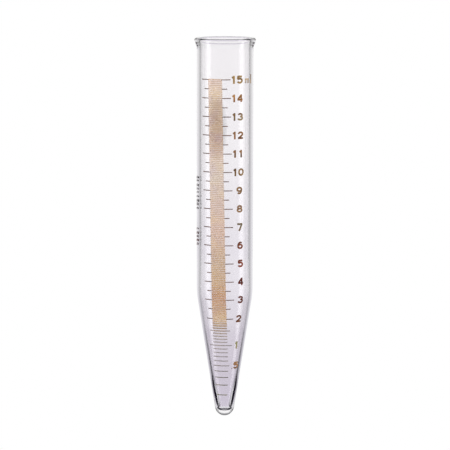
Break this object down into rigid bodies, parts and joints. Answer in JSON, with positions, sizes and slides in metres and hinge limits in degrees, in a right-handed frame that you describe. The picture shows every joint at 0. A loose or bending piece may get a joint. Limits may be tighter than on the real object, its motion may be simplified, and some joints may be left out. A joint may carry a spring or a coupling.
{
  "type": "graduated conical test tube",
  "caption": "Straight-sided glass tube with a conical closed end, a beaded rim and a printed volume scale on its outside.",
  "frame": {"origin": "lowest point of the rounded tip, on the tube's axis", "axes": "+Z along the axis from the tip to the mouth, -Y out of the middle of the printed side, +X to the right of the print"},
  "size_m": [0.019, 0.019, 0.1183],
  "materials": {
    "clear_glass": "clear, fire-polished",
    "amber_ink": "fired amber-brown enamel, matt",
    "brown_ink": "fired dark brown enamel, matt",
    "pale_enamel": "thin translucent white enamel to write on, matt"
  },
  "bodies": {
    "root": {"fine_tenth_lines": "amber_ink", "glass_tube": "clear_glass", "line_0_5_ml": "brown_ink", "line_10_5_ml": "brown_ink", "line_10_ml": "brown_ink", "line_11_5_ml": "brown_ink", "line_11_ml": "brown_ink", "line_12_5_ml": "brown_ink", "line_12_ml": "brown_ink", "line_13_5_ml": "brown_ink", "line_13_ml": "brown_ink", "line_14_5_ml": "brown_ink", "line_14_ml": "brown_ink", "line_15_ml": "brown_ink", "line_1_5_ml": "brown_ink", "line_1_ml": "brown_ink", "line_2_5_ml": "brown_ink", "line_2_ml": "brown_ink", "line_3_5_ml": "brown_ink", "line_3_ml": "brown_ink", "line_4_5_ml": "brown_ink", "line_4_ml": "brown_ink", "line_5_5_ml": "brown_ink", "line_5_ml": "brown_ink", "line_6_5_ml": "brown_ink", "line_6_ml": "brown_ink", "line_7_5_ml": "brown_ink", "line_7_ml": "brown_ink", "line_8_5_ml": "brown_ink", "line_8_ml": "brown_ink", "line_9_5_ml": "brown_ink", "line_9_ml": "brown_ink", "marking_spot": "pale_enamel", "numeral_0_5": "amber_ink", "numeral_1": "amber_ink", "numeral_10_tens": "amber_ink", "numeral_10_units": "amber_ink", "numeral_11_tens": "amber_ink", "numeral_11_units": "amber_ink", "numeral_12_tens": "amber_ink", "numeral_12_units": "amber_ink", "numeral_13_tens": "amber_ink", "numeral_13_units": "amber_ink", "numeral_14_tens": "amber_ink", "numeral_14_units": "amber_ink", "numeral_15_tens": "amber_ink", "numeral_15_units": "amber_ink", "numeral_2": "amber_ink", "numeral_3": "amber_ink", "numeral_4": "amber_ink", "numeral_5": "amber_ink", "numeral_6": "amber_ink", "numeral_7": "amber_ink", "numeral_8": "amber_ink", "numeral_9": "amber_ink", "point_of_0_5": "amber_ink", "side_mark_lower": "brown_ink", "side_mark_upper": "brown_ink", "unit_l": "amber_ink", "unit_m": "amber_ink"}
  },
  "joints": []
}
